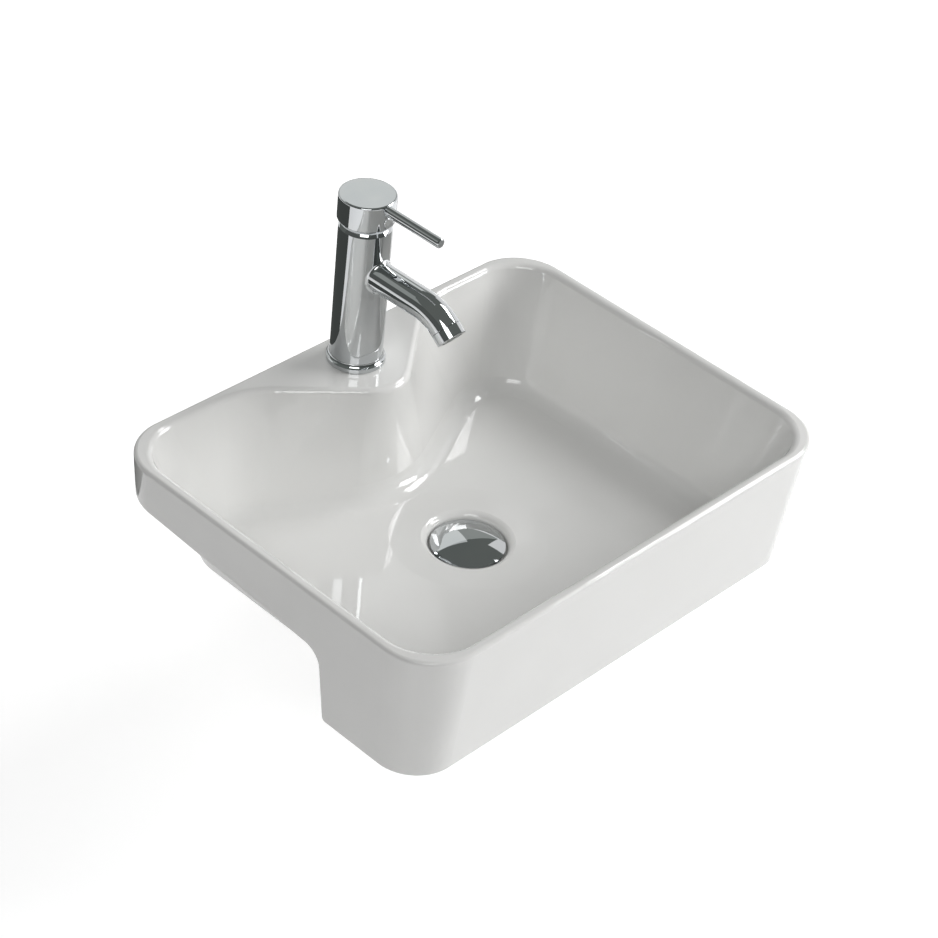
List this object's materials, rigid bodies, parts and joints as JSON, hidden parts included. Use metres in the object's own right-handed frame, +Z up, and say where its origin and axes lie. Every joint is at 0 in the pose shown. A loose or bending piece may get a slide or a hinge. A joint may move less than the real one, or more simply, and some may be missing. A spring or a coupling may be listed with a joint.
{
  "type": "semi recessed basin",
  "caption": "Semi recessed glazed china wash basin with a stepped underside, a tap ledge, a single lever mixer tap and a click waste.",
  "frame": {"origin": "on the counter seat: the underside of the rear skirt, on the centre line, 7 mm in from the rear edge of the rim", "axes": "+X to the user's right, -Y out over the front of the counter towards the user, +Z up, the rim level"},
  "size_m": [0.4796, 0.3676, 0.438],
  "materials": {
    "china": "gloss",
    "chrome_plate": "polished",
    "brass": "satin",
    "steel": "satin",
    "black_rubber": "matte",
    "technical_ceramic": "satin",
    "grey_plastic": "satin",
    "white_plastic": "satin",
    "index_plastic": "gloss"
  },
  "bodies": {
    "fixed": {"basin": "china", "foot_ring": "chrome_plate", "foot_gasket": "black_rubber", "mixer_body": "chrome_plate", "fixing_stud": "steel", "clamp_rubber": "black_rubber", "clamp_plate": "steel", "fixing_nut": "brass", "cartridge_housing": "grey_plastic", "fixed_disc": "technical_ceramic", "cartridge_nut": "brass", "collar": "chrome_plate", "aerator_sleeve": "chrome_plate", "aerator_washer": "black_rubber", "aerator_insert": "white_plastic", "waste_body": "chrome_plate", "click_barrel": "white_plastic", "click_spring": "steel", "waste_seal": "black_rubber", "taper_washer": "black_rubber", "slip_washer": "white_plastic", "back_nut": "brass", "tail_pipe": "chrome_plate", "tail_seal": "black_rubber", "tail_nut": "chrome_plate"},
    "swivel": {"cartridge_rotor": "white_plastic", "pivot_pin": "steel"},
    "handle": {"handle_head": "chrome_plate", "lever_rod": "chrome_plate", "index_plug": "index_plastic", "grub_screw": "steel", "lever_stem": "brass"},
    "mixing_disc": {"moving_disc": "technical_ceramic"},
    "cap": {"waste_cap": "chrome_plate", "cap_seal": "black_rubber", "click_plunger": "brass"}
  },
  "joints": [
    {"name": "temperature_swivel", "type": "hinge", "parent": "fixed", "child": "swivel", "pos_m": [0, -0.0283, 0.16543], "axis": [0, 0, 1], "range_deg": [-45, 45]},
    {"name": "lever_lift", "type": "hinge", "parent": "swivel", "child": "handle", "pos_m": [0, -0.0283, 0.16543], "axis": [-1, 0, 0], "range_deg": [0, 25]},
    {"name": "disc_slide", "type": "slide", "parent": "swivel", "child": "mixing_disc", "axis": [0, -1, 0], "range_m": [0, 0.003]},
    {"name": "cap_lift", "type": "slide", "parent": "fixed", "child": "cap", "axis": [0, 0, 1], "range_m": [0, 0.009], "deforming": ["click_spring"]}
  ],
  "couplings": [
    {"joint": "disc_slide", "follows": "lever_lift", "m_per_rad": 0.00678}
  ]
}
